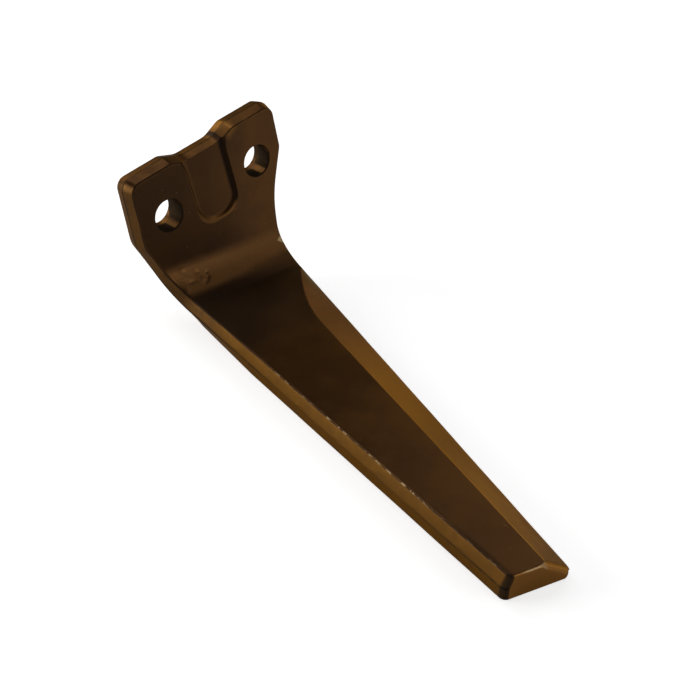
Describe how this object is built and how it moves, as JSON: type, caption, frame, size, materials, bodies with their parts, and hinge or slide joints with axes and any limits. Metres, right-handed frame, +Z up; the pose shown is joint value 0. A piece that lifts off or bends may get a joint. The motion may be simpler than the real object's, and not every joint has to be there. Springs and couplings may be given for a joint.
{
  "type": "harrow tine",
  "caption": "Forged power harrow tine with a bolt-on head, a bend and a long tapering blade bevelled to a cutting edge.",
  "frame": {"origin": "on the rear seat face of the head, midway between the two bolt holes", "axes": "the tine lies on the flat back of its blade; -Y runs along the blade towards the tip, +Z is up, +X is towards the bevelled cutting edge"},
  "size_m": [0.1206, 0.3277, 0.1179],
  "materials": {
    "tine": "thin dark brown semi-gloss coat over forged steel"
  },
  "bodies": {
    "root": {"tine": "tine"}
  },
  "joints": []
}
